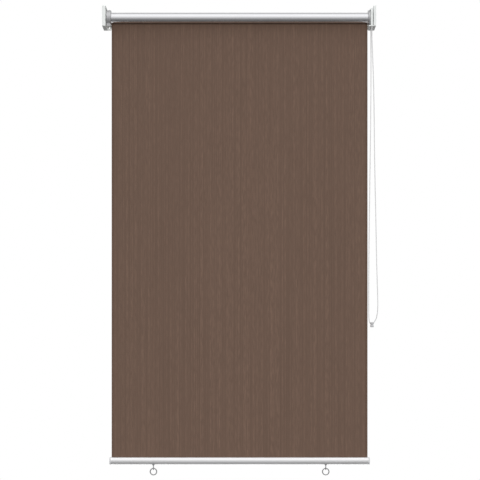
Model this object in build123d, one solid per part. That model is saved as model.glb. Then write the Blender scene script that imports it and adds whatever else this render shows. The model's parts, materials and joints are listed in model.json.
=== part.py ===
from build123d import *
import math
import os

# Outdoor roller blind: a ribbed cloth that hangs behind a bare tube between two wall brackets.
# X runs to the right, Y towards the wall and Z up. The wall is the plane y = 0, and the origin
# is the middle of the four wall screw holes. All sizes are in millimetres.

# Cloth
cloth_width = 747.0
cloth_thickness = 0.5
cloth_rib_count = 118
cloth_rib_height = 0.15
cloth_rib_share = 0.5
cloth_rib_slope = 0.8
selvedge_width = 7.0
selvedge_extra = 0.12
cloth_side_gap = 0.3
cloth_straight_top = 1.0

# Roller tube and the groove that holds the cloth's upper edge
tube_diameter = 30.6
tube_wall = 1.2
groove_angle = 48.0
groove_mouth = 2.6
groove_width = 5.2
groove_depth = 2.2
groove_wall = 0.8
key_thickness = 1.0

# Place of the tube
axis_from_wall = 45.0
drop_to_bar = 1291.0

# Collars at the tube's ends
collar_diameter = 44.6
drive_collar_width = 5.7
collar_edge = 1.0
collar_wall = 2.3
collar_recess = 9.0
collar_core_diameter = 21.0

# Brackets
idle_arm_thickness = 10.0
idle_arm_skin = 2.4
idle_recess_depth = 3.5
idle_recess_rim = 2.4
idle_boss_edge = 1.0
drive_arm_thickness = 7.0
drive_arm_skin = 1.6
arm_rim = 2.7
arm_front_above = 34.5
arm_front_below = 26.5
arm_wall_above = 28.5
arm_wall_below = 31.5
arm_front_round = 3.0
arm_edge_round = 1.2
plate_thickness = 3.5
plate_width = 13.0
plate_corner = 4.0
plate_fillet = 3.0
screw_hole_diameter = 4.6
screw_hole_spacing = 45.0
screw_hole_from_arm = 6.8

# Idle end
idle_plug_length = 42.0
idle_side_gap = 0.5
pin_diameter = 8.0
pin_edge = 0.8
pin_tip_gap = 1.0
pin_side_gap = 0.4
pin_shoulder_length = 4.0
pin_tail_diameter = 5.0
pin_tail_length = 18.0
pin_chamber_diameter = 12.8
plug_end_wall = 4.0
plug_cap_length = 6.0
plug_cap_hole = 4.0
bush_wall = 2.0
bush_flange_diameter = 17.0
bush_flange_thickness = 1.0
idle_spring_wire = 1.2
idle_spring_side_gap = 1.1
idle_spring_turns = 9

# Drive end
hub_length = 44.0
hub_end_wall = 10.0
hub_thin_wall = 1.2
core_square_step = 2.0
core_tail_diameter = 9.0
pulley_rim_depth = 2.5
pulley_width = 7.4
pulley_arm_gap = 1.3
pulley_boss_length = 10.0
pulley_edge_land = 1.2
pulley_floor_width = 2.8
pulley_peg_diameter = 3.6
pulley_peg_length = 3.2
pulley_peg_from_rim = 4.5
pulley_peg_count = 3
clutch_wire = 1.2
clutch_side_gap = 0.4
clutch_turns = 8
core_screw_shank = 3.4
core_screw_length = 12.0
core_screw_head_diameter = 7.0
core_screw_head_height = 2.4
core_screw_slot = 1.0
core_washer_diameter = 14.0
core_washer_thickness = 1.0

# Cord guard
guard_wall = 2.2
guard_depth = 8.4
guard_rise = 5.0
guard_rim_width = 4.0
guard_rim_step = 0.8
guard_seam = 1.6
guard_top_round = 12.0
guard_pulley_gap = 1.1
foot_collar_gap = 0.9
foot_width = 14.5
foot_lip = 0.5
foot_wall_gap = 0.5
cord_hole_diameter = 6.0
guard_peg_diameter = 1.8
guard_peg_length = 3.0

# Cord and its weight
cord_diameter = 2.6
cord_turn_radius = 16.5
weight_top_diameter = 11.8
weight_waist_diameter = 7.4
weight_bulge_diameter = 10.4
weight_foot_diameter = 8.6
weight_band_height = 3.5
weight_narrowing_height = 4.1
weight_widening_height = 2.9
weight_bulge_height = 1.8
weight_foot_height = 2.3
weight_edge = 1.2
weight_below_axis = 885.0
weight_outward = 1.3
weight_forward = 6.3

# Bottom bar
bar_wall = 1.4
bar_past_cloth = 2.5
bar_middle_room = 2.8
bar_cap_thickness = 4.0
bar_cap_edge = 1.6
bar_cap_tenon = 10.0
bar_slot = 2.4
rod_diameter = 4.0
rod_channel_room = 0.7
rod_channel_wall = 1.2
rod_end_gap = 5.0
nut_web_rise = 3.65
nut_web_thickness = 1.2
nut_side_room = 2.1

# Eyes and rings under the bar
ring_from_bar_end = 124.5
ring_diameter = 22.0
ring_wire = 3.2
eye_wire = 2.8
eye_hole = 8.2
eye_neck = 1.5
eye_shank_diameter = 4.0
eye_collar_diameter = 7.0
eye_collar_thickness = 1.0
nut_across_flats = 7.0
nut_height = 3.2
shank_above_nut = 1.0

# Clearances, and how far a cut runs past the face that it opens
cut_past = 1.0
close_fit = 0.05
running_gap = 0.1
seat_gap = 0.2
soft_gap = 0.3
end_gap = 0.3

# Sizes and places that follow: the roller
axis_y = -axis_from_wall
axis_z = (arm_wall_below - arm_wall_above) / 2
tube_radius = tube_diameter / 2
tube_bore = tube_radius - tube_wall
tube_end = cloth_width / 2 + cloth_side_gap
groove_floor = tube_bore - groove_depth
channel_floor = groove_floor - groove_wall
channel_width = groove_width + 2 * groove_wall
cloth_inner = tube_radius + soft_gap
cloth_y = axis_y + cloth_inner + cloth_thickness / 2

# The drive end, from the tube out to the bracket
drive_collar_end = tube_end + drive_collar_width
pulley_inner = drive_collar_end + end_gap
pulley_middle = pulley_inner + pulley_width / 2
bracket_inner_x = pulley_inner + pulley_width + pulley_arm_gap
pulley_diameter = 2 * (cord_turn_radius + pulley_rim_depth)
chamber_diameter = 2 * (channel_floor - seat_gap - hub_thin_wall)
core_diameter = chamber_diameter - 2 * (running_gap + clutch_wire + clutch_side_gap)
core_square = core_diameter - 2 * core_square_step
core_square_length = drive_arm_thickness - drive_arm_skin - running_gap

# The idle end, from the bracket in to the tube
idle_collar_end = bracket_inner_x - bush_flange_thickness - idle_side_gap
idle_collar_width = idle_collar_end - tube_end
bush_length = idle_arm_thickness - idle_arm_skin - running_gap
pin_reach_in_bush = bush_length - pin_tip_gap
pin_shoulder_diameter = pin_chamber_diameter - 2 * pin_side_gap
idle_spring_diameter = pin_chamber_diameter - idle_spring_wire - 2 * idle_spring_side_gap

# The guard and the bracket's front
guard_inside = pulley_diameter / 2 + guard_pulley_gap
guard_outside = guard_inside + guard_wall
guard_top = guard_outside + guard_rise
foot_top = collar_diameter / 2 + foot_collar_gap
foot_inner_x = bracket_inner_x - foot_width
foot_rear = axis_from_wall - plate_thickness - plate_fillet - foot_wall_gap
arm_front_y = -guard_outside - arm_rim

# The bar, as high and deep as what it holds
rod_channel_diameter = rod_diameter + 2 * (seat_gap + cloth_thickness + rod_channel_room)
nut_stack = nut_web_thickness + close_fit + nut_height + shank_above_nut
bar_upper = bar_wall + rod_channel_diameter + rod_channel_wall
bar_height = bar_upper + bar_middle_room + nut_stack + nut_web_rise
bar_depth = nut_across_flats + 2 * (bar_wall + nut_side_room)
bar_length = cloth_width + 2 * bar_past_cloth
rod_length = bar_length - 2 * rod_end_gap
bar_y = cloth_y
bar_z = axis_z - drop_to_bar
bar_top_z = bar_z + bar_height / 2
bar_bottom_z = bar_z - bar_height / 2
rod_z = bar_top_z - bar_wall - rod_channel_diameter / 2
nut_web_z = bar_bottom_z + nut_web_rise
ring_x = bar_length / 2 - ring_from_bar_end


def on_axis(section):
    """A section drawn around the roller's axis, in the plane across it."""
    return Plane.YZ * Pos(axis_y, axis_z) * section


def across(section, x_from, x_to):
    """A section around the roller's axis, drawn out from x_from to x_to."""
    return Pos(x_from, 0, 0) * extrude(on_axis(section), amount=x_to - x_from, dir=(1, 0, 0))


def rod_on_axis(diameter, x_from, x_to):
    return across(Circle(diameter / 2), min(x_from, x_to), max(x_from, x_to))


def turned(points):
    """A body turned around the roller's axis from (x, radius) points."""
    outline = make_face(Polyline(*points, close=True))
    return Pos(0, axis_y, axis_z) * revolve(outline, axis=Axis.X)


def groove_shape(width, from_radius, to_radius):
    """A radial bar at the groove's angle, in the section around the axis."""
    middle = (from_radius + to_radius) / 2
    bar = Rectangle(to_radius - from_radius, width)
    return Rot(0, 0, groove_angle) * Pos(middle, 0) * bar


def roller_tube():
    shell = Circle(tube_radius) - Circle(tube_bore)
    channel = groove_shape(channel_width, channel_floor, tube_bore + tube_wall / 2)
    cavity = groove_shape(groove_width, groove_floor, tube_bore)
    mouth = groove_shape(groove_mouth, tube_bore - tube_wall, tube_radius + tube_wall)
    return across(shell + channel - cavity - mouth, -tube_end, tube_end)


def cloth_key():
    """The strip that locks the cloth's upper edge in the tube's groove."""
    bottom = groove_floor + running_gap
    strip = groove_shape(groove_width - 2 * seat_gap, bottom, bottom + key_thickness)
    half = cloth_width / 2
    return across(strip, -half, half)


def plug_section(outer_diameter):
    """A plug's outline in the tube, with room for the groove's channel."""
    room = groove_shape(channel_width + 2 * seat_gap, channel_floor - seat_gap, tube_radius)
    return Circle(outer_diameter / 2) - room


def collar(sign, width):
    """The wide rim outside the tube's end, with its outer edges broken."""
    inner = sign * tube_end
    outer = sign * (tube_end + width)
    radius = collar_diameter / 2
    return turned([
        (inner, 0),
        (inner, radius - collar_edge),
        (inner + sign * collar_edge, radius),
        (outer - sign * collar_edge, radius),
        (outer, radius - collar_edge),
        (outer, 0),
    ])


plug_diameter = 2 * (tube_bore - running_gap)
idle_plug_inner = tube_end - idle_plug_length
pin_chamber_end = idle_collar_end - plug_end_wall


def idle_plug():
    body = across(plug_section(plug_diameter), -tube_end, -idle_plug_inner)
    body += collar(-1, idle_collar_width)
    rim = Circle(collar_diameter / 2 - collar_wall) - Circle(collar_core_diameter / 2)
    body -= across(rim, -idle_collar_end - cut_past, -idle_collar_end + collar_recess)
    bore = pin_diameter + 2 * running_gap
    body -= rod_on_axis(bore, -idle_collar_end - cut_past, -idle_plug_inner)
    return body - rod_on_axis(pin_chamber_diameter, -pin_chamber_end, -idle_plug_inner + cut_past)


plug_cap_outer = idle_plug_inner + plug_cap_length


def idle_plug_cap():
    """The disc that closes the pin's chamber and carries the spring."""
    disc = Circle(pin_chamber_diameter / 2 - close_fit) - Circle(plug_cap_hole / 2)
    return across(disc, -plug_cap_outer, -idle_plug_inner)


pin_shoulder_outer = pin_chamber_end - seat_gap
pin_shoulder_inner = pin_shoulder_outer - pin_shoulder_length
pin_tip = bracket_inner_x + pin_reach_in_bush


def idle_pin():
    nose = pin_diameter / 2
    tail = pin_tail_diameter / 2
    shoulder = pin_shoulder_diameter / 2
    return turned([
        (-pin_tip, 0),
        (-pin_tip, nose - pin_edge),
        (-pin_tip + pin_edge, nose),
        (-pin_shoulder_outer, nose),
        (-pin_shoulder_outer, shoulder),
        (-pin_shoulder_inner, shoulder),
        (-pin_shoulder_inner, tail),
        (-pin_shoulder_inner + pin_tail_length, tail),
        (-pin_shoulder_inner + pin_tail_length, 0),
    ])


def coil(wire, mean_diameter, turns, x_from, x_to):
    """A round wire wound about the roller's axis, its ends half a wire inside the two places."""
    low = min(x_from, x_to) + wire / 2
    height = abs(x_to - x_from) - wire
    path = Helix(pitch=height / turns, height=height, radius=mean_diameter / 2)
    start = Plane(origin=path @ 0, z_dir=path % 0)
    wound = sweep(start * Circle(wire / 2), path=path, is_frenet=True)
    return Pos(low, axis_y, axis_z) * Rot(0, 90, 0) * wound


def idle_spring():
    return coil(
        idle_spring_wire,
        idle_spring_diameter,
        idle_spring_turns,
        -pin_shoulder_inner + seat_gap,
        -plug_cap_outer - seat_gap,
    )


def idle_bush():
    inner = -bracket_inner_x
    tube = rod_on_axis(pin_diameter + 2 * bush_wall, inner - bush_length, inner)
    tube += rod_on_axis(bush_flange_diameter, inner, inner + bush_flange_thickness)
    bore = rod_on_axis(
        pin_diameter + 2 * running_gap, inner - bush_length, inner + bush_flange_thickness
    )
    return tube - bore


hub_inner = tube_end - hub_length
hub_chamber_inner = hub_inner + hub_end_wall
hub_peg_floor = pulley_inner - pulley_peg_length - end_gap


def drive_hub():
    body = across(plug_section(plug_diameter), hub_inner, tube_end)
    body += collar(1, drive_collar_width)
    body -= rod_on_axis(chamber_diameter, hub_chamber_inner, drive_collar_end + cut_past)
    bore = core_tail_diameter + 2 * running_gap
    body -= rod_on_axis(bore, hub_inner - cut_past, hub_chamber_inner)
    hole = pulley_peg_diameter + 2 * running_gap
    for place in peg_places():
        body -= across(place * Circle(hole / 2), hub_peg_floor, pulley_inner)
    return body


def peg_places():
    radius = pulley_diameter / 2 - pulley_peg_from_rim
    return PolarLocations(radius, pulley_peg_count, start_angle=90)


def cord_pulley():
    rim = pulley_diameter / 2
    floor = cord_turn_radius - cord_diameter / 2 - soft_gap
    boss = chamber_diameter / 2 - running_gap
    bore = core_diameter / 2 + running_gap
    outer = pulley_inner + pulley_width
    wheel = turned([
        (pulley_inner - pulley_boss_length, bore),
        (pulley_inner - pulley_boss_length, boss),
        (pulley_inner, boss),
        (pulley_inner, rim),
        (pulley_inner + pulley_edge_land, rim),
        (pulley_middle - pulley_floor_width / 2, floor),
        (pulley_middle + pulley_floor_width / 2, floor),
        (outer - pulley_edge_land, rim),
        (outer, rim),
        (outer, bore),
    ])
    for place in peg_places():
        peg = place * Circle(pulley_peg_diameter / 2)
        wheel += across(peg, pulley_inner - pulley_peg_length, pulley_inner)
    return wheel


core_shoulder = hub_chamber_inner + end_gap
core_tail_end = hub_inner - end_gap


def drive_core():
    """The fixed axle: a square head in the bracket, a journal and a tail."""
    square = Rectangle(core_square, core_square)
    body = across(square, bracket_inner_x - end_gap, bracket_inner_x + core_square_length)
    body += rod_on_axis(core_diameter, core_shoulder, bracket_inner_x - end_gap)
    body += rod_on_axis(core_tail_diameter, core_tail_end, core_shoulder)
    pilot = core_screw_shank + 2 * close_fit
    deep = core_tail_end + core_screw_length + end_gap
    return body - rod_on_axis(pilot, core_tail_end - cut_past, deep)


def clutch_spring():
    inside = pulley_inner - pulley_boss_length - end_gap
    length = clutch_turns * (clutch_wire + seat_gap) + clutch_wire
    return coil(
        clutch_wire,
        core_diameter + 2 * running_gap + clutch_wire,
        clutch_turns,
        inside - length,
        inside,
    )


def core_washer():
    ring = Circle(core_washer_diameter / 2) - Circle(core_screw_shank / 2 + running_gap)
    return across(ring, core_tail_end - core_washer_thickness, core_tail_end)


def core_screw():
    seat = core_tail_end - core_washer_thickness
    shank = rod_on_axis(core_screw_shank, seat, core_tail_end + core_screw_length)
    head = rod_on_axis(core_screw_head_diameter, seat - core_screw_head_height, seat)
    slot = Rectangle(core_screw_head_diameter + cut_past, core_screw_slot)
    top = seat - core_screw_head_height
    cut = across(slot, top - cut_past, top + core_screw_slot)
    return shank + head - cut


def arm_outline():
    """The side of a bracket's arm, around the roller's axis: its front stands higher than its root."""
    side = Polygon(
        (arm_front_y, -arm_front_below),
        (arm_front_y, arm_front_above),
        (axis_from_wall, arm_wall_above),
        (axis_from_wall, -arm_wall_below),
        align=None,
    )
    front = side.vertices().sort_by(Axis.X)[:2]
    return fillet(front, arm_front_round)


def bracket(sign, arm_thickness):
    """An arm and a wall plate moulded in one, for the right side, turned over for the left."""
    outer = bracket_inner_x + arm_thickness
    arm = across(arm_outline(), bracket_inner_x, outer)
    rim = arm.faces().sort_by(Axis.X)[-1].edges()
    arm = fillet(rim.filter_by(lambda edge: edge.center().Y < -plate_thickness), arm_edge_round)
    height = arm_wall_above + arm_wall_below
    plate = Pos(bracket_inner_x - plate_width / 2, -plate_thickness / 2, 0) * Box(
        plate_width, plate_thickness, height
    )
    corners = plate.edges().filter_by(Axis.Y).group_by(Axis.X)[0]
    plate = fillet(corners, plate_corner)
    body = arm + plate + corner_fill(height)
    for height_of_hole in (-screw_hole_spacing / 2, screw_hole_spacing / 2):
        hole = Rot(90, 0, 0) * Cylinder(screw_hole_diameter / 2, 4 * plate_thickness)
        body -= Pos(bracket_inner_x - screw_hole_from_arm, 0, height_of_hole) * hole
    return body if sign > 0 else mirror(body, about=Plane.YZ)


def corner_fill(height):
    """The hollow round between the arm and the plate."""
    corner = Pos(plate_fillet / 2, plate_fillet / 2) * Rectangle(plate_fillet, plate_fillet)
    corner -= Circle(plate_fillet)
    place = Pos(bracket_inner_x - plate_fillet, -plate_thickness - plate_fillet, -height / 2)
    return extrude(place * corner, amount=height)


def idle_recess():
    """The hollow in the idle arm's inner face, inside its rim and around the bush's boss."""
    front = arm_front_y + idle_recess_rim
    rear = axis_from_wall - plate_thickness - plate_fillet
    room = Pos((front + rear) / 2, 0) * Rectangle(rear - front, arm_front_above + arm_wall_below)
    inside = offset(arm_outline(), amount=-idle_recess_rim, kind=Kind.INTERSECTION) & room
    boss = Circle(bush_flange_diameter / 2 + idle_boss_edge)
    return across(inside - boss, -bracket_inner_x - idle_recess_depth, -bracket_inner_x + cut_past)


def left_bracket():
    pocket = pin_diameter + 2 * bush_wall + 2 * close_fit
    deep = bracket_inner_x + bush_length + running_gap
    body = bracket(-1, idle_arm_thickness) - idle_recess()
    return body - rod_on_axis(pocket, -deep, -bracket_inner_x + cut_past)


def right_bracket():
    body = bracket(1, drive_arm_thickness)
    side = core_square + 2 * running_gap
    deep = bracket_inner_x + core_square_length + running_gap
    body -= across(Rectangle(side, side), bracket_inner_x - cut_past, deep)
    hole = guard_peg_diameter + 2 * close_fit
    hole_end = bracket_inner_x + guard_peg_length + running_gap
    for place in guard_pegs():
        body -= across(place * Circle(hole / 2), bracket_inner_x - cut_past, hole_end)
    return body


def guard_pegs():
    """The places of the three pegs that hold the guard in the arm: one at its top, two at its foot."""
    middle = guard_inside + guard_peg_diameter / 2
    top = guard_top - guard_wall + guard_peg_diameter / 2
    low = -(foot_top + foot_bottom(-guard_outside)) / 2
    return [Pos(-middle, low), Pos(middle, low), Pos(0, top)]


def arch(half_width, top, round_radius):
    """A flat-sided arch that stands on the foot's top."""
    height = top + foot_top
    shape = Pos(0, (top - foot_top) / 2) * Rectangle(2 * half_width, height)
    return fillet(shape.vertices().sort_by(Axis.Y)[2:], round_radius)


def cord_guard():
    """A hood over the pulley with a wider rim, an open seam short of the arm, on a foot and pegs."""
    seam_x = bracket_inner_x - guard_seam
    rim_x = seam_x - guard_rim_width
    hood_x = bracket_inner_x - guard_depth
    rim = arch(guard_outside, guard_top, guard_top_round)
    step = guard_rim_step
    hood = arch(guard_outside - step, guard_top - step, guard_top_round - step)
    body = across(rim, rim_x, seam_x) + across(hood, hood_x, rim_x)
    inside = arch(guard_inside, guard_top - guard_wall, guard_top_round - guard_wall)
    body -= across(inside, hood_x - cut_past, seam_x + cut_past)
    body += guard_foot()
    peg_end = bracket_inner_x + guard_peg_length
    for place in guard_pegs():
        body += across(place * Circle(guard_peg_diameter / 2), seam_x, peg_end)
    return body


def foot_bottom(place):
    """How far the foot's underside lies below the axis: just above the arm's, and sloping with it."""
    slope = (arm_wall_below - arm_front_below) / (axis_from_wall - arm_front_y)
    return arm_front_below + slope * (place - arm_front_y) - foot_lip


def guard_foot():
    """The floor under the pulley, back to the wall plate, with a hole for each strand of the cord."""
    side = Polygon(
        (-guard_outside, -foot_top),
        (foot_rear, -foot_top),
        (foot_rear, -foot_bottom(foot_rear)),
        (-guard_outside, -foot_bottom(-guard_outside)),
        align=None,
    )
    block = across(side, foot_inner_x, bracket_inner_x)
    for strand in (-1, 1):
        hole = Cylinder(cord_hole_diameter / 2, 2 * foot_top)
        block -= Pos(pulley_middle, axis_y + strand * cord_turn_radius, axis_z - foot_top) * hole
    return block


# The cord's hanging stretch, chosen by hand, from the pulley's middle: down in front, through
# the weight and up behind.
hanging_cord = [
    (0.4, -16.3, -57.5),
    (2.6, -16.0, -113.5),
    (4.8, -15.6, -170.5),
    (6.2, -15.1, -227.5),
    (7.1, -14.6, -285.5),
    (7.7, -14.0, -343.5),
    (8.4, -13.4, -401.5),
    (9.4, -12.8, -459.5),
    (10.7, -12.1, -516.5),
    (12.1, -11.4, -573.5),
    (13.2, -10.6, -631.5),
    (14.2, -9.8, -688.5),
    (15.6, -9.0, -743.5),
    (17.4, -8.2, -794.5),
    (18.3, -7.6, -831.5),
    (17.7, -7.1, -855.5),
    (14.9, -6.8, -872.0),
    (9.7, -6.5, -882.5),
    (4.1, -6.3, -889.4),
    (-1.9, -6.2, -890.1),
    (-5.9, -6.1, -885.5),
    (-7.4, -6.0, -877.0),
    (-7.9, -5.8, -861.5),
    (-8.1, -5.4, -837.5),
    (-8.0, -4.7, -793.5),
    (-7.7, -3.6, -741.5),
    (-7.2, -2.4, -686.5),
    (-6.5, -1.1, -630.5),
    (-5.6, 0.2, -573.5),
    (-4.7, 1.6, -516.5),
    (-3.8, 3.1, -459.5),
    (-2.9, 4.7, -401.5),
    (-2.0, 6.5, -343.5),
    (-1.1, 8.5, -285.5),
    (-0.4, 10.6, -227.5),
    (0.0, 12.7, -170.5),
    (0.1, 14.6, -113.5),
    (0.1, 16.1, -57.5),
]
corner_share = 0.45
pulley_arc_share = 0.99
pulley_corners = 4
cord_seam = 0.6


def pulley_turn():
    """The corners of the cord's half turn over the pulley, from the rear to the front."""
    step = 180 / pulley_corners
    reach = cord_turn_radius / math.cos(math.radians(step / 2))
    turn = []
    for corner in range(pulley_corners):
        angle = math.radians(step * (corner + 0.5))
        turn.append((0, reach * math.cos(angle), reach * math.sin(angle)))
    return turn


def cord_route():
    front = -cord_turn_radius
    route = [(0, front, -cord_seam)] + hanging_cord + pulley_turn() + [(0, front, 0)]
    return [(pulley_middle + x, axis_y + y, axis_z + z) for x, y, z in route]


def corner_radii(route):
    """Each arc as large as its two runs allow."""
    radii = []
    for place in range(1, len(route) - 1):
        before = Vector(*route[place]) - Vector(*route[place - 1])
        after = Vector(*route[place + 1]) - Vector(*route[place])
        half_turn = math.radians(before.get_angle(after)) / 2
        radius = corner_share * min(before.length, after.length) / math.tan(half_turn)
        over_pulley = place > len(hanging_cord)
        radii.append(pulley_arc_share * cord_turn_radius if over_pulley else radius)
    return radii


def cord_loop():
    route = cord_route()
    radii = corner_radii(route)
    path = FilletPolyline(*route, radius=radii)
    section = Plane(origin=path @ 0, z_dir=path % 0) * Circle(cord_diameter / 2)
    tube = sweep(section, path=path)
    print("cord radii", [round(radius, 1) for radius in radii])
    print("cord length", round(path.length, 1))
    print("cord volume share", round(tube.volume / (path.length * section.area), 5))
    return tube


def cord_weight():
    """The turned hourglass weight that the cord's lower bend runs through."""
    top = weight_top_diameter / 2
    waist = weight_waist_diameter / 2
    bulge = weight_bulge_diameter / 2
    foot = weight_foot_diameter / 2
    waist_z = -weight_band_height - weight_narrowing_height
    bulge_z = waist_z - weight_widening_height
    bottom = bulge_z - weight_bulge_height - weight_foot_height
    profile = [
        (0, 0),
        (top - weight_edge, 0),
        (top, -weight_edge),
        (top, -weight_band_height),
        (waist, waist_z),
        (bulge, bulge_z),
        (bulge, bulge_z - weight_bulge_height),
        (foot, bottom),
        (0, bottom),
    ]
    outline = Plane.XZ * make_face(Polyline(*profile, close=True))
    body = revolve(outline, axis=Axis.Z)
    place = (pulley_middle + weight_outward, axis_y - weight_forward, axis_z - weight_below_axis)
    return Pos(*place) * body


def fabric():
    """The whole cloth in one piece: its edge in the groove, its turn on the tube, panel and hem."""
    half = cloth_width / 2
    outer = cloth_inner + cloth_thickness
    tail = groove_shape(cloth_thickness, groove_floor + key_thickness + seat_gap, outer)
    ring = Circle(outer) - Circle(cloth_inner)
    wedge = Polygon((0, 0), (2 * outer, 0), (2 * outer, 2 * outer), (0, 2 * outer), align=None)
    above = Rot(0, 0, groove_angle - 90) * wedge
    turn = ring & wedge & above
    bottom_of_turn = axis_z - cloth_straight_top
    strip_x = cloth_inner + cloth_thickness / 2
    strip = Pos(strip_x, -cloth_straight_top / 2) * Rectangle(cloth_thickness, cloth_straight_top)
    body = across(turn + tail + strip, -half, half)
    body += ribbed_panel(bar_top_z + soft_gap, bottom_of_turn)
    body += hem()
    return body


def ribbed_panel(z_from, z_to):
    """The flat part of the cloth: fine upright ribs on both faces and a thicker band along each side."""
    half = cloth_width / 2
    flat = cloth_thickness / 2
    thick = flat + selvedge_extra
    inside = half - selvedge_width
    pitch = 2 * inside / cloth_rib_count
    rib = pitch * cloth_rib_share
    edge = [(-half, thick), (-inside, thick), (-inside, flat)]
    for count in range(cloth_rib_count):
        start = -inside + pitch * count + (pitch - rib) / 2
        edge.append((start, flat))
        edge.append((start + cloth_rib_slope, flat + cloth_rib_height))
        edge.append((start + rib - cloth_rib_slope, flat + cloth_rib_height))
        edge.append((start + rib, flat))
    edge += [(inside, flat), (inside, thick), (half, thick)]
    back = [(x, -y) for x, y in reversed(edge)]
    outline = make_face(Polyline(*edge, *back, close=True))
    return Pos(0, cloth_y, z_from) * extrude(outline, amount=z_to - z_from, dir=(0, 0, 1))


def hem():
    """The doubled edge that goes through the bar's slot and round the rod."""
    half = rod_length / 2
    inner = rod_diameter / 2 + seat_gap
    outer = inner + cloth_thickness
    neck_top = bar_top_z + soft_gap - rod_z
    neck = Pos(0, (neck_top + inner) / 2) * Rectangle(2 * cloth_thickness, neck_top - inner)
    loop = neck + Circle(outer) - Circle(inner)
    section = Plane.YZ * Pos(bar_y, rod_z) * loop
    return Pos(-half, 0, 0) * extrude(section, amount=2 * half)


def hem_rod():
    section = Plane.YZ * Pos(bar_y, rod_z) * Circle(rod_diameter / 2)
    return Pos(-rod_length / 2, 0, 0) * extrude(section, amount=rod_length)


def bar_outline(inset):
    return Ellipse(bar_depth / 2 - inset, bar_height / 2 - inset)


def bottom_bar():
    """The hollow oval rail, with a slotted channel for the rod and a web for the nuts."""
    inside = bar_outline(bar_wall)
    channel_radius = rod_channel_diameter / 2
    channel_place = Pos(0, rod_z - bar_z)
    channel = channel_place * Circle(channel_radius + rod_channel_wall)
    web = Pos(0, nut_web_z - bar_z + nut_web_thickness / 2) * Rectangle(bar_depth, nut_web_thickness)
    section = bar_outline(0) - inside + ((channel + web) & inside)
    section -= channel_place * Circle(channel_radius)
    section -= Pos(0, bar_height / 2) * Rectangle(bar_slot, 2 * (bar_wall + channel_radius))
    rail = Pos(-bar_length / 2, 0, 0) * extrude(
        Plane.YZ * Pos(bar_y, bar_z) * section, amount=bar_length
    )
    hole = eye_shank_diameter / 2 + running_gap
    deep = nut_web_rise + nut_web_thickness + 2 * cut_past
    for side in (-1, 1):
        cut = Cylinder(hole, deep, align=(Align.CENTER, Align.CENTER, Align.MIN))
        rail -= Pos(side * ring_x, bar_y, bar_bottom_z - cut_past) * cut
    return rail


def bar_cap(side):
    """The moulded end of the bar: an oval lid and a tenon between the bar's web and channel."""
    lid = extrude(Plane.YZ * Pos(bar_y, bar_z) * bar_outline(0), amount=bar_cap_thickness)
    lid = fillet(lid.faces().sort_by(Axis.X)[-1].edges(), bar_cap_edge)
    low = nut_web_z + nut_web_thickness + seat_gap - bar_z
    high = rod_z - bar_z - rod_channel_diameter / 2 - rod_channel_wall - seat_gap
    band = Pos(0, (low + high) / 2) * Rectangle(bar_depth, high - low)
    section = Plane.YZ * Pos(bar_y, bar_z) * (bar_outline(bar_wall + seat_gap) & band)
    tenon = Pos(-bar_cap_tenon, 0, 0) * extrude(section, amount=bar_cap_tenon, dir=(1, 0, 0))
    cap = Pos(bar_length / 2, 0, 0) * (lid + tenon)
    return cap if side > 0 else mirror(cap, about=Plane.YZ)


eye_mean = (eye_hole + eye_wire) / 2
eye_top_z = bar_bottom_z - eye_collar_thickness - eye_neck
eye_centre_z = eye_top_z - eye_wire / 2 - eye_mean
ring_mean = (ring_diameter - ring_wire) / 2
ring_top_z = eye_centre_z - eye_hole / 2 + soft_gap + ring_wire / 2
ring_centre_z = ring_top_z - ring_mean
nut_bottom_z = nut_web_z + nut_web_thickness + close_fit


def screw_eye(side):
    """A round-wire eye, edge on from the front, with a seat and a shank up into the bar."""
    loop = Pos(0, 0, eye_centre_z) * Rot(0, 90, 0) * Torus(eye_mean, eye_wire / 2)
    foot = eye_centre_z + eye_mean
    top = nut_bottom_z + nut_height + shank_above_nut
    shank = Pos(0, 0, foot) * Cylinder(
        eye_shank_diameter / 2, top - foot, align=(Align.CENTER, Align.CENTER, Align.MIN)
    )
    seat = Pos(0, 0, bar_bottom_z - close_fit) * Cylinder(
        eye_collar_diameter / 2, eye_collar_thickness, align=(Align.CENTER, Align.CENTER, Align.MAX)
    )
    return Pos(side * ring_x, bar_y, 0) * (loop + shank + seat)


def eye_nuts():
    nut = extrude(RegularPolygon(nut_across_flats / 2, 6, major_radius=False), amount=nut_height)
    nut -= Cylinder(eye_shank_diameter / 2 + close_fit, 4 * nut_height)
    places = [Pos(side * ring_x, bar_y, nut_bottom_z) for side in (-1, 1)]
    return Compound(children=[place * nut for place in places])


def pull_ring(side):
    ring = Rot(90, 0, 0) * Torus(ring_mean, ring_wire / 2)
    return Pos(side * ring_x, bar_y, ring_centre_z) * ring


nodes = {
    "left_bracket": left_bracket(),
    "idle_bush": idle_bush(),
    "idle_pin": idle_pin(),
    "idle_spring": idle_spring(),
    "idle_plug": idle_plug(),
    "idle_plug_cap": idle_plug_cap(),
    "roller_tube": roller_tube(),
    "cloth_key": cloth_key(),
    "drive_hub": drive_hub(),
    "cord_pulley": cord_pulley(),
    "clutch_spring": clutch_spring(),
    "drive_core": drive_core(),
    "core_washer": core_washer(),
    "core_screw": core_screw(),
    "right_bracket": right_bracket(),
    "cord_guard": cord_guard(),
    "cord_loop": cord_loop(),
    "cord_weight": cord_weight(),
    "fabric": fabric(),
    "bottom_bar": bottom_bar(),
    "left_bar_cap": bar_cap(-1),
    "right_bar_cap": bar_cap(1),
    "hem_rod": hem_rod(),
    "left_eye": screw_eye(-1),
    "right_eye": screw_eye(1),
    "eye_nuts": eye_nuts(),
    "left_ring": pull_ring(-1),
    "right_ring": pull_ring(1),
}

os.makedirs("parts", exist_ok=True)
for name, shape in nodes.items():
    export_step(shape, f"parts/{name}.step")
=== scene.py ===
import json
import math
import random

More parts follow.
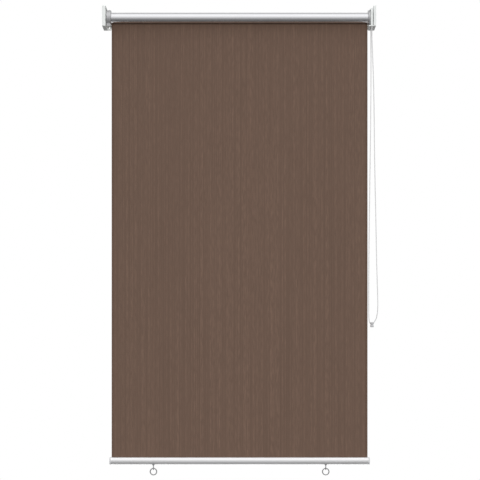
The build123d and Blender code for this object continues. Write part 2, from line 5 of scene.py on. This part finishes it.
import bpy
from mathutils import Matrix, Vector


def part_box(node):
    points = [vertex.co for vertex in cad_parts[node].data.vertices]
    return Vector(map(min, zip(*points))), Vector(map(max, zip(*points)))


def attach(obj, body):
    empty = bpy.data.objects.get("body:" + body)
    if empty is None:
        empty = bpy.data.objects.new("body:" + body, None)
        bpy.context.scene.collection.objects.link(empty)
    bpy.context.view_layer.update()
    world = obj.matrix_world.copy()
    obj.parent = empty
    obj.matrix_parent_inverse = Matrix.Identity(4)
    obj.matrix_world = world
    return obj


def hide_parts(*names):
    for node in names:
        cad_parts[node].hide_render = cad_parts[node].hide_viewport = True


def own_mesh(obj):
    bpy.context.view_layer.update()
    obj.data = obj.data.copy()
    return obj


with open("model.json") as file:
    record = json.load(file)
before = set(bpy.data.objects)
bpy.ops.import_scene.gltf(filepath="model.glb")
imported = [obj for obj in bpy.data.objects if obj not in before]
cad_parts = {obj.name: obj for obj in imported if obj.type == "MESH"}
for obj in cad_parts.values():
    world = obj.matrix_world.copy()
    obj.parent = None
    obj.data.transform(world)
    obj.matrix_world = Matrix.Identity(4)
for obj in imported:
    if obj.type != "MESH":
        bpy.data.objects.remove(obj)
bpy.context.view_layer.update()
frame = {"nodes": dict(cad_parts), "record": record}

nodes = frame["nodes"]

# Sizes that the frame gives, in metres: X right, Y into the wall, Z up
cloth_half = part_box("fabric")[1].x
bar_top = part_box("bottom_bar")[1].z
pulley_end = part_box("cord_pulley")[1].x
rod_low, rod_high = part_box("hem_rod")
tube_low, tube_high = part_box("roller_tube")
tube_radius = (tube_high.z - tube_low.z) / 2
axis = Vector((0, (tube_low.y + tube_high.y) / 2, (tube_low.z + tube_high.z) / 2))
rod_centre = Vector((0, (rod_low.y + rod_high.y) / 2, (rod_low.z + rod_high.z) / 2))
rod_radius = (rod_high.z - rod_low.z) / 2

# Cloth: its thickness and gap from the tube, then its section across the width, which is thicker along
# both sides
cloth_thickness = 0.0005
cloth_gap = 0.0003
selvedge_width = 0.007
selvedge_extra = 0.00012
selvedge_foot = 0.0005
selvedge_shoulder = 0.0012
selvedge_round = 0.0004
selvedge_edge_share = 0.4
rib_count = 118
rib_height = 0.00015
small_rib_height = 0.00007
wales_per_rib = 4
high_wales = (1, 2)
wale_seed = 31
wale_spread = 0.22
wale_top_half = 0.22
wale_low_side = 0.85

# Cloth: its way from the tube's groove over the rear and down to the hem round the rod
groove_angle = math.radians(48)
groove_turn_radius = 0.0008
groove_turn_steps = 5
groove_edge_depth = 0.0038
turn_steps = 14
panel_top_drop = 0.001
panel_rows = 30
panel_edge = 0.0008
hem_gap = 0.0002
hem_steps = 28
hem_share = 0.98
panel_y = axis.y + tube_radius + cloth_gap + cloth_thickness / 2
panel_bottom = bar_top + cloth_gap
panel_top = axis.z - panel_top_drop

# Cloth: slow waves over the hanging part, each a share, the turn along X and along Z in
# radians a metre, and a phase
ripple = 0.00022
ripple_waves = [(1.0, 9.0, 2.2, 0.0), (0.6, 23.0, -3.1, 1.0)]

# Cord: its hanging stretch is given from the pulley's middle, down in front and up behind
cord_diameter = 0.0026
cord_length = 1.84
cord_turn_radius = 0.0165
cord_seam = 0.0006
pulley_width = 0.0074
pulley_corners = 4
braid_strands = 4.0
braid_pitch = 0.011
hanging_cord = [
    (0.0004, -0.0163, -0.0575),
    (0.0026, -0.0160, -0.1135),
    (0.0048, -0.0156, -0.1705),
    (0.0062, -0.0151, -0.2275),
    (0.0071, -0.0146, -0.2855),
    (0.0077, -0.0140, -0.3435),
    (0.0084, -0.0134, -0.4015),
    (0.0094, -0.0128, -0.4595),
    (0.0107, -0.0121, -0.5165),
    (0.0121, -0.0114, -0.5735),
    (0.0132, -0.0106, -0.6315),
    (0.0142, -0.0098, -0.6885),
    (0.0156, -0.0090, -0.7435),
    (0.0174, -0.0082, -0.7945),
    (0.0183, -0.0076, -0.8315),
    (0.0177, -0.0071, -0.8555),
    (0.0149, -0.0068, -0.8720),
    (0.0097, -0.0065, -0.8825),
    (0.0041, -0.0063, -0.8894),
    (-0.0019, -0.0062, -0.8901),
    (-0.0059, -0.0061, -0.8855),
    (-0.0074, -0.0060, -0.8770),
    (-0.0079, -0.0058, -0.8615),
    (-0.0081, -0.0054, -0.8375),
    (-0.0080, -0.0047, -0.7935),
    (-0.0077, -0.0036, -0.7415),
    (-0.0072, -0.0024, -0.6865),
    (-0.0065, -0.0011, -0.6305),
    (-0.0056, 0.0002, -0.5735),
    (-0.0047, 0.0016, -0.5165),
    (-0.0038, 0.0031, -0.4595),
    (-0.0029, 0.0047, -0.4015),
    (-0.0020, 0.0065, -0.3435),
    (-0.0011, 0.0085, -0.2855),
    (-0.0004, 0.0106, -0.2275),
    (0.0000, 0.0127, -0.1705),
    (0.0001, 0.0146, -0.1135),
    (0.0001, 0.0161, -0.0575),
]

# Camera: straight on, five metres in front of the cloth
camera_distance = 5.0
camera_x = 0.0012
camera_z = -0.6448
view_width = 1.4016
sensor_width = 36.0

# Grain: a noise's values lie mostly between these two
noise_low = 0.3
noise_high = 0.7

# Studio: plain surfaces see a light that grows from the floor up, and gloss sees a broad lamp
# high in front, and white well behind the object
soft_floor = 0.12
soft_top = 1.17
soft_curve = 2.0
lamp_floor = 0.125
lamp_top = 1.08
lamp_curve = 3.2
lamp_elevation = math.radians(52)
behind_from = 0.6
behind_to = 0.9


def link(obj):
    bpy.context.scene.collection.objects.link(obj)
    return obj


def mesh_piece(name, points, faces, body):
    """A smooth mesh at the origin whose points are in the frame, riding on one body."""
    mesh = bpy.data.meshes.new(name)
    mesh.from_pydata([tuple(point) for point in points], [], faces)
    mesh.update()
    for polygon in mesh.polygons:
        polygon.use_smooth = True
    piece = link(bpy.data.objects.new(name, mesh))
    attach(piece, body)
    return piece


def math_node(tree, operation, first, second=0.0):
    """One sum on numbers or the outputs of other nodes."""
    node = tree.nodes.new("ShaderNodeMath")
    node.operation = operation
    for socket, value in zip(node.inputs, (first, second)):
        if isinstance(value, (int, float)):
            socket.default_value = value
        else:
            tree.links.new(value, socket)
    return node.outputs["Value"]


class Finish:
    """A node material with one principled shader; textures are in the frame's own coordinates."""

    def __init__(self, name, roughness, metallic=0.0, specular=0.5):
        self.material = bpy.data.materials.new(name)
        self.material.use_nodes = True
        self.nodes = self.material.node_tree.nodes
        self.links = self.material.node_tree.links
        self.shader = self.nodes["Principled BSDF"]
        self.shader.inputs["Roughness"].default_value = roughness
        self.shader.inputs["Metallic"].default_value = metallic
        self.shader.inputs["Specular IOR Level"].default_value = specular
        self.place = self.nodes.new("ShaderNodeTexCoord").outputs["Object"]

    def join(self, output, socket):
        self.links.new(output, socket)

    def scaled(self, scale):
        """The frame's coordinates, stretched along each axis, for a grain with a direction."""
        mapping = self.nodes.new("ShaderNodeMapping")
        mapping.inputs["Scale"].default_value = scale
        self.join(self.place, mapping.inputs["Vector"])
        return mapping.outputs["Vector"]

    def noise(self, scale, detail=2.0, roughness=0.5, stretch=None):
        texture = self.nodes.new("ShaderNodeTexNoise")
        texture.inputs["Scale"].default_value = scale
        texture.inputs["Detail"].default_value = detail
        texture.inputs["Roughness"].default_value = roughness
        self.join(self.scaled(stretch) if stretch else self.place, texture.inputs["Vector"])
        return texture.outputs["Fac"]

    def wave(self, direction, scale, distortion):
        texture = self.nodes.new("ShaderNodeTexWave")
        texture.bands_direction = direction
        texture.inputs["Scale"].default_value = scale
        texture.inputs["Distortion"].default_value = distortion
        self.join(self.place, texture.inputs["Vector"])
        return texture.outputs["Fac"]

    def calc(self, operation, first, second=0.0):
        return math_node(self.material.node_tree, operation, first, second)

    def span(self, factor, low, high, low_to=0.0, high_to=1.0):
        """The factor's stretch from low to high, spread over the two given values."""
        node = self.nodes.new("ShaderNodeMapRange")
        node.inputs["From Min"].default_value = low
        node.inputs["From Max"].default_value = high
        node.inputs["To Min"].default_value = low_to
        node.inputs["To Max"].default_value = high_to
        self.join(factor, node.inputs["Value"])
        return node.outputs["Result"]

    def spread(self, noise, low_to=0.0, high_to=1.0):
        """A noise's usual values, spread over the two given values."""
        return self.span(noise, noise_low, noise_high, low_to, high_to)

    def mixed(self, factor, first, second, mode="MIX"):
        """The first colour where the factor is 0 and the second where it is 1."""
        node = self.nodes.new("ShaderNodeMix")
        node.data_type = "RGBA"
        node.blend_type = mode
        if isinstance(factor, float):
            node.inputs["Factor"].default_value = factor
        else:
            self.join(factor, node.inputs["Factor"])
        for socket, value in ((node.inputs["A"], first), (node.inputs["B"], second)):
            if isinstance(value, tuple):
                socket.default_value = (*value, 1.0)
            else:
                self.join(value, socket)
        return node.outputs["Result"]

    def colour(self, output):
        self.join(output, self.shader.inputs["Base Color"])

    def roughness(self, output):
        self.join(output, self.shader.inputs["Roughness"])

    def bump(self, *heights):
        """Bumps on top of each other, each a pair of height and depth in metres."""
        normal = None
        for height, depth in heights:
            node = self.nodes.new("ShaderNodeBump")
            node.inputs["Distance"].default_value = depth
            self.join(height, node.inputs["Height"])
            if normal:
                self.join(normal, node.inputs["Normal"])
            normal = node.outputs["Normal"]
        self.join(normal, self.shader.inputs["Normal"])


def shade(colour, factor):
    return tuple(channel * factor for channel in colour)


def cloth_material():
    """Ribbed plastic tape cloth: streaks along the ribs, fine cross loops and darker side bands."""
    finish = Finish("cloth", roughness=0.7, specular=0.3)
    brown = (0.1448, 0.0914, 0.0667)
    side_tint = (0.86, 0.85, 0.84)
    loop_scale = 160.0
    loop_depth = 0.00010
    tape_depth = 0.00006
    streak = finish.noise(1.0, detail=2.0, roughness=0.6, stretch=(230.0, 230.0, 0.6))
    fleck = finish.noise(1.0, detail=1.0, stretch=(260.0, 260.0, 45.0))
    fine = finish.noise(1.0, detail=1.0, stretch=(900.0, 900.0, 14.0))
    broad = finish.noise(1.0, detail=2.0, stretch=(22.0, 22.0, 5.0))
    tint = finish.mixed(finish.span(streak, 0.32, 0.68), shade(brown, 0.80), shade(brown, 1.20))
    tint = finish.mixed(finish.spread(fleck, 0.0, 0.95), tint, shade(brown, 0.86))
    tint = finish.mixed(finish.spread(fine, 0.0, 0.25), tint, shade(brown, 0.84))
    tint = finish.mixed(finish.spread(broad, 0.0, 0.15), tint, shade(brown, 1.10))
    split = finish.nodes.new("ShaderNodeSeparateXYZ")
    finish.join(finish.place, split.inputs["Vector"])
    from_middle = finish.calc("ABSOLUTE", split.outputs["X"])
    selvedge_from = cloth_half - selvedge_width
    side_band = finish.span(
        from_middle,
        selvedge_from - selvedge_foot,
        selvedge_from + selvedge_foot,
    )
    finish.colour(finish.mixed(side_band, tint, side_tint, "MULTIPLY"))
    loops = finish.wave("Z", loop_scale, distortion=1.5)
    finish.bump((loops, loop_depth), (fine, tape_depth))
    return finish.material


def drawn_metal(name, base, roughness, metallic):
    """Extruded metal with fine lines along X."""
    line_depth = 0.00001
    finish = Finish(name, roughness=roughness, metallic=metallic)
    lines = finish.noise(1.0, detail=4.0, roughness=0.7, stretch=(3.0, 2600.0, 2600.0))
    cloud = finish.noise(9.0, detail=2.0)
    finish.colour(finish.mixed(finish.spread(lines), shade(base, 0.95), shade(base, 1.03)))
    grain = finish.calc("ADD", finish.span(lines, 0.2, 0.8, -0.05, 0.05),
                        finish.spread(cloud, roughness - 0.03, roughness + 0.03))
    finish.roughness(grain)
    finish.bump((lines, line_depth))
    return finish.material


def turned_steel(name, base, roughness):
    """Plated wire and small steel pieces, slightly cloudy."""
    cloud_depth = 0.00002
    finish = Finish(name, roughness=roughness, metallic=1.0)
    cloud = finish.noise(260.0, detail=4.0, roughness=0.6)
    finish.colour(finish.mixed(finish.spread(cloud), shade(base, 0.86), shade(base, 1.05)))
    finish.roughness(finish.span(cloud, 0.25, 0.75, roughness - 0.08, roughness + 0.1))
    finish.bump((cloud, cloud_depth))
    return finish.material


def moulded_plastic(name, base, roughness, metallic=0.0):
    """Moulded plastic with a fine eroded grain and faint flow marks."""
    grain_depth = 0.000025
    finish = Finish(name, roughness=roughness, metallic=metallic, specular=0.35)
    grain = finish.noise(2600.0, detail=2.0)
    flow = finish.noise(1.0, detail=3.0, stretch=(60.0, 60.0, 25.0))
    finish.colour(finish.mixed(finish.spread(flow), shade(base, 0.965), shade(base, 1.02)))
    finish.roughness(finish.span(flow, 0.25, 0.75, roughness - 0.05, roughness + 0.06))
    finish.bump((grain, grain_depth))
    return finish.material


def cord_material():
    """A round braid: two sets of strands that cross at an angle, drawn in the cord's own length."""
    finish = Finish("cord_braid", roughness=0.65, specular=0.35)
    base = (0.74, 0.74, 0.745)
    braid_depth = 0.00022
    fuzz_depth = 0.00004
    split = finish.nodes.new("ShaderNodeSeparateXYZ")
    finish.join(finish.nodes.new("ShaderNodeUVMap").outputs["UV"], split.inputs["Vector"])
    turns = cord_length / braid_pitch
    along, around = split.outputs["X"], split.outputs["Y"]
    heights = []
    for side in (-1.0, 1.0):
        phase = finish.calc("ADD", finish.calc("MULTIPLY", along, turns * side),
                            finish.calc("MULTIPLY", around, braid_strands))
        heights.append(finish.calc("SINE", finish.calc("MULTIPLY", phase, math.tau)))
    braid = finish.span(finish.calc("MAXIMUM", *heights), 0.0, 1.0)
    fuzz = finish.noise(1500.0, detail=3.0)
    # The braid's colour is darker in the grooves between strands and lighter on the strand tops: painted
    # shade and painted highlight on a cord of one colour
    tint = finish.mixed(braid, shade(base, 0.8), shade(base, 1.06))
    finish.colour(finish.mixed(finish.spread(fuzz, 0.0, 0.3), tint, shade(base, 0.92)))
    finish.bump((braid, braid_depth), (fuzz, fuzz_depth))
    return finish.material


materials = {
    "cloth": cloth_material(),
    "tube_aluminium": drawn_metal("tube_aluminium", (0.82, 0.82, 0.84), 0.26, 1.0),
    "bar_aluminium": drawn_metal("bar_aluminium", (0.90, 0.90, 0.91), 0.34, 0.75),
    "bracket_plastic": moulded_plastic("bracket_plastic", (0.755, 0.775, 0.765), 0.58),
    "guard_plastic": moulded_plastic("guard_plastic", (0.73, 0.75, 0.74), 0.55),
    "collar_plastic": moulded_plastic("collar_plastic", (0.52, 0.52, 0.53), 0.27, metallic=0.7),
    "pulley_plastic": moulded_plastic("pulley_plastic", (0.70, 0.71, 0.71), 0.38),
    "bush_plastic": moulded_plastic("bush_plastic", (0.80, 0.80, 0.77), 0.35),
    "core_plastic": moulded_plastic("core_plastic", (0.06, 0.06, 0.065), 0.45),
    "key_plastic": moulded_plastic("key_plastic", (0.60, 0.60, 0.60), 0.45),
    "weight_plastic": moulded_plastic("weight_plastic", (0.52, 0.52, 0.53), 0.30),
    "cap_plastic": moulded_plastic("cap_plastic", (0.60, 0.60, 0.615), 0.38),
    "ring_steel": turned_steel("ring_steel", (0.54, 0.54, 0.55), 0.34),
    "steel": turned_steel("steel", (0.60, 0.60, 0.62), 0.35),
    "cord": cord_material(),
}


def dress_nodes():
    """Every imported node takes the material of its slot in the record."""
    for part in frame["record"]["subparts"]:
        node = nodes[part["node"]]
        finish = materials[part["material_slot"]]
        for material_slot in node.material_slots:
            material_slot.material = finish
        if not node.material_slots:
            node.data.materials.append(finish)


def cord_points():
    """The cord's route from the front of the pulley down, through the weight, up and over."""
    middle = Vector((pulley_end - pulley_width / 2, axis.y, axis.z))
    front = (0, -cord_turn_radius, 0)
    step = math.pi / pulley_corners
    reach = cord_turn_radius / math.cos(step / 2)
    turn = []
    for corner in range(pulley_corners):
        angle = step * (corner + 0.5)
        turn.append((0, reach * math.cos(angle), reach * math.sin(angle)))
    route = [(0, -cord_turn_radius, -cord_seam)] + hanging_cord + turn + [front]
    return [middle + Vector(place) for place in route]


def make_cord():
    curve = bpy.data.curves.new("pull_cord", "CURVE")
    curve.dimensions = "3D"
    curve.bevel_depth = cord_diameter / 2
    curve.bevel_resolution = 5
    curve.resolution_u = 10
    curve.use_fill_caps = True
    points = cord_points()
    spline = curve.splines.new("NURBS")
    spline.points.add(len(points) - 1)
    for point, place in zip(spline.points, points):
        point.co = (*place, 1.0)
    spline.order_u = 3
    spline.use_endpoint_u = True
    curve.materials.append(materials["cord"])
    cord = link(bpy.data.objects.new("pull_cord", curve))
    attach(cord, "frame")
    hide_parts("cord_loop")


def cloth_columns():
    """The cloth's section across its width: pairs of place along X and extra height of the face."""
    chance = random.Random(wale_seed)
    inside = cloth_half - selvedge_width
    selvedge = [
        (inside + selvedge_foot, 0.0),
        (inside + selvedge_shoulder, selvedge_extra),
        (cloth_half - selvedge_round, selvedge_extra),
        (cloth_half, selvedge_edge_share * selvedge_extra),
    ]
    columns = [(-x, extra) for x, extra in reversed(selvedge)]
    pitch = 2 * inside / rib_count
    wale = pitch / wales_per_rib
    for rib in range(rib_count):
        for place in range(wales_per_rib):
            top = rib_height if place in high_wales else small_rib_height
            top *= 1 + wale_spread * chance.uniform(-1, 1)
            start = -inside + pitch * rib + wale * place
            middle = start + wale * (0.5 + 0.5 * wale_spread * chance.uniform(-1, 1))
            columns.append((start, 0.0))
            columns.append((middle - wale_top_half * wale, wale_low_side * top))
            columns.append((middle + wale_top_half * wale, top))
    return columns + [(inside, 0.0)] + selvedge


def strip_mesh(path, columns, wobble=None):
    """A closed sheet along a path of (y, z, normal y, normal z), with the columns' relief."""
    points, faces = [], []
    count = len(columns)
    for side in (-1, 1):
        for y, z, normal_y, normal_z in path:
            for x, extra in columns:
                off = side * (cloth_thickness / 2 + extra)
                drift = wobble(x, z) if wobble else 0.0
                points.append((x, y + normal_y * (off + drift), z + normal_z * (off + drift)))
    layer = count * len(path)
    for row in range(len(path) - 1):
        for column in range(count - 1):
            a = row * count + column
            b = a + count
            faces.append((a, a + 1, b + 1, b))
            faces.append((layer + a, layer + b, layer + b + 1, layer + a + 1))
    for row in range(len(path) - 1):
        for column in (0, count - 1):
            a = row * count + column
            quad = (a, a + count, layer + a + count, layer + a)
            faces.append(quad if column == 0 else quad[::-1])
    for column in range(count - 1):
        for row in (0, len(path) - 1):
            a = row * count + column
            quad = (a, layer + a, layer + a + 1, a + 1)
            faces.append(quad if row == 0 else quad[::-1])
    return points, faces


def panel_ripple(x, z):
    """The slight unevenness of hanging cloth, none at the tube and the bar."""
    share = (z - panel_bottom) / (panel_top - panel_bottom)
    held = math.sin(math.pi * max(0.0, min(1.0, share)))
    slow = 0.0
    for size, turn_x, turn_z, phase in ripple_waves:
        slow += size * math.sin(turn_x * x + turn_z * z + phase)
    return ripple * held * slow


def dress(piece, slot):
    """The slot's material, on the piece."""
    piece.data.materials.append(materials[slot])


def make_panel(columns):
    """The flat cloth between the tube and the bar."""
    step = (panel_top - panel_bottom - 2 * panel_edge) / panel_rows
    rows = [panel_bottom + panel_edge + step * row for row in range(panel_rows + 1)]
    rows = [panel_bottom, *rows, panel_top]
    path = [(panel_y, z, 1.0, 0.0) for z in rows]
    panel = mesh_piece("cloth_panel", *strip_mesh(path, columns, panel_ripple), "frame")
    dress(panel, "cloth")
    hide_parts("fabric")
    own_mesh(panel)
    return panel


def make_turn(columns):
    """The cloth's turn over the tube's rear, and its edge that goes down into the groove."""
    radius = tube_radius + cloth_gap + cloth_thickness / 2
    path = [(panel_y, panel_top, 1.0, 0.0)]
    bend = groove_turn_radius / radius
    last = groove_angle - bend
    for step in range(turn_steps + 1):
        angle = last * step / turn_steps
        path.append((
            axis.y + radius * math.cos(angle),
            axis.z + radius * math.sin(angle),
            math.cos(angle),
            math.sin(angle),
        ))
    outward = Vector((math.cos(groove_angle), math.sin(groove_angle)))
    forward = Vector((-outward.y, outward.x))
    centre = outward * (radius - groove_turn_radius) - forward * groove_turn_radius
    for step in range(1, groove_turn_steps + 1):
        angle = math.radians(90) * step / groove_turn_steps
        normal = outward * math.cos(angle) + forward * math.sin(angle)
        place = centre + normal * groove_turn_radius
        path.append((axis.y + place.x, axis.z + place.y, normal.x, normal.y))
    end = outward * (tube_radius - groove_edge_depth)
    path.append((axis.y + end.x, axis.z + end.y, forward.x, forward.y))
    turn = mesh_piece("cloth_turn", *strip_mesh(path, columns), "roller")
    dress(turn, "cloth")
    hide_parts("fabric")
    return turn


def make_hem():
    """The doubled lower edge, down through the bar's slot and round the rod."""
    middle = rod_radius + hem_gap + cloth_thickness / 2
    spread = math.asin(cloth_thickness / 2 / middle)
    path = [(cloth_thickness / 2, panel_bottom - rod_centre.z)]
    for step in range(hem_steps + 1):
        angle = spread + (math.tau - 2 * spread) * step / hem_steps
        path.append((middle * math.sin(angle), middle * math.cos(angle)))
    path.append((-cloth_thickness / 2, panel_bottom - rod_centre.z))
    outline = []
    for side in (1, -1):
        run = []
        for place, (y, z) in enumerate(path):
            before = path[max(place - 1, 0)]
            after = path[min(place + 1, len(path) - 1)]
            tangent = Vector((after[0] - before[0], after[1] - before[1])).normalized()
            normal = Vector((-tangent.y, tangent.x)) * side * cloth_thickness / 2 * hem_share
            run.append((y + normal.x, z + normal.y))
        outline += run if side == 1 else run[::-1]
    points = []
    for x in (-rod_high.x, rod_high.x):
        points += [(x, rod_centre.y + y, rod_centre.z + z) for y, z in outline]
    count = len(outline)
    faces = []
    for place in range(count):
        following = (place + 1) % count
        faces.append((place, following, count + following, count + place))
    ends = []
    for place in range(len(path) - 1):
        other = count - 1 - place
        ends.append((place, other, other - 1, place + 1))
    faces += ends
    faces += [tuple(count + corner for corner in reversed(quad)) for quad in ends]
    hem = mesh_piece("cloth_hem", points, faces, "bottom_bar")
    dress(hem, "cloth")
    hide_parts("fabric")
    return hem


def make_cloth():
    columns = cloth_columns()
    panel = make_panel(columns)
    turn = make_turn(columns)
    hem = make_hem()


def make_camera():
    data = bpy.data.cameras.new("camera")
    data.sensor_width = sensor_width
    data.lens = sensor_width * camera_distance / view_width
    camera = link(bpy.data.objects.new("camera", data))
    camera.location = (camera_x, panel_y - camera_distance, camera_z)
    camera.rotation_euler = (math.radians(90), 0, 0)
    bpy.context.scene.camera = camera


def make_sun(name, elevation, azimuth, strength, spread):
    """A sun that lights plain surfaces; metal and gloss see only the studio around it."""
    data = bpy.data.lights.new(name, "SUN")
    data.energy = strength
    data.angle = math.radians(spread)
    sun = link(bpy.data.objects.new(name, data))
    sun.rotation_euler = (math.radians(90 - elevation), 0, math.radians(azimuth))
    sun.visible_glossy = False


def lobe(tree, height, curve, top, floor):
    """A brightness that falls from top + floor at a height of 1 to floor at a height of -1."""
    share = math_node(tree, "MULTIPLY", math_node(tree, "ADD", height, 1.0), 0.5)
    rise = math_node(tree, "MULTIPLY", math_node(tree, "POWER", share, curve), top)
    return math_node(tree, "ADD", rise, floor)


def chosen(tree, factor, first, second):
    """The first value where the factor is 0 and the second where it is 1."""
    node = tree.nodes.new("ShaderNodeMix")
    node.data_type = "FLOAT"
    tree.links.new(factor, node.inputs["Factor"])
    for socket, value in ((node.inputs["A"], first), (node.inputs["B"], second)):
        if isinstance(value, float):
            socket.default_value = value
        else:
            tree.links.new(value, socket)
    return node.outputs["Result"]


def make_world():
    """A soft studio, a broad lamp that only gloss sees, and white behind the object."""
    world = bpy.data.worlds.new("studio")
    world.use_nodes = True
    bpy.context.scene.world = world
    tree = world.node_tree
    direction = tree.nodes.new("ShaderNodeTexCoord").outputs["Generated"]
    split = tree.nodes.new("ShaderNodeSeparateXYZ")
    tree.links.new(direction, split.inputs["Vector"])
    soft = lobe(tree, split.outputs["Z"], soft_curve, soft_top, soft_floor)
    towards = tree.nodes.new("ShaderNodeVectorMath")
    towards.operation = "DOT_PRODUCT"
    towards.inputs[1].default_value = (0, -math.cos(lamp_elevation), math.sin(lamp_elevation))
    tree.links.new(direction, towards.inputs[0])
    lamp = lobe(tree, towards.outputs["Value"], lamp_curve, lamp_top, lamp_floor)
    path = tree.nodes.new("ShaderNodeLightPath")
    glossy, through = path.outputs["Is Glossy Ray"], path.outputs["Is Transmission Ray"]
    seen = math_node(tree, "MAXIMUM", glossy, through)
    behind = tree.nodes.new("ShaderNodeMapRange")
    behind.interpolation_type = "SMOOTHSTEP"
    behind.inputs["From Min"].default_value = behind_from
    behind.inputs["From Max"].default_value = behind_to
    tree.links.new(split.outputs["Y"], behind.inputs["Value"])
    mirrored = math_node(tree, "MULTIPLY", seen, behind.outputs["Result"])
    white = math_node(tree, "MAXIMUM", path.outputs["Is Camera Ray"], mirrored)
    studio = chosen(tree, seen, soft, lamp)
    tree.links.new(chosen(tree, white, studio, 1.0), tree.nodes["Background"].inputs["Strength"])
    tree.nodes["Background"].inputs["Color"].default_value = (1, 1, 1, 1)


def make_floor():
    """A pale floor under and behind the blind, below the first view, that bounces little light."""
    half, front, back, height = 1.3, 0.0, 1.8, -1.62
    outline = [(-half, front), (half, front), (half, back), (-half, back)]
    mesh = bpy.data.meshes.new("floor")
    mesh.from_pydata([(x, y, height) for x, y in outline], [], [(0, 1, 2, 3)])
    floor = link(bpy.data.objects.new("floor", mesh))
    finish = Finish("floor", roughness=0.9, specular=0.1)
    bounce_grey = (0.25, 0.25, 0.25)
    seen_grey = (0.86, 0.86, 0.86)
    path = finish.nodes.new("ShaderNodeLightPath")
    glossy, through = path.outputs["Is Glossy Ray"], path.outputs["Is Transmission Ray"]
    seen = finish.calc("MAXIMUM", path.outputs["Is Camera Ray"], finish.calc("MAXIMUM", glossy, through))
    finish.colour(finish.mixed(seen, bounce_grey, seen_grey))
    mesh.materials.append(finish.material)


def make_studio():
    bpy.context.scene.view_settings.view_transform = "Standard"
    make_camera()
    make_world()
    make_floor()
    make_sun("front", elevation=4, azimuth=0, strength=1.60, spread=9)
    make_sun("back", elevation=20, azimuth=180, strength=1.3, spread=70)
    make_sun("left", elevation=15, azimuth=-80, strength=0.35, spread=60)
    make_sun("right", elevation=15, azimuth=80, strength=0.35, spread=60)


dress_nodes()
make_cord()
make_cloth()
make_studio()
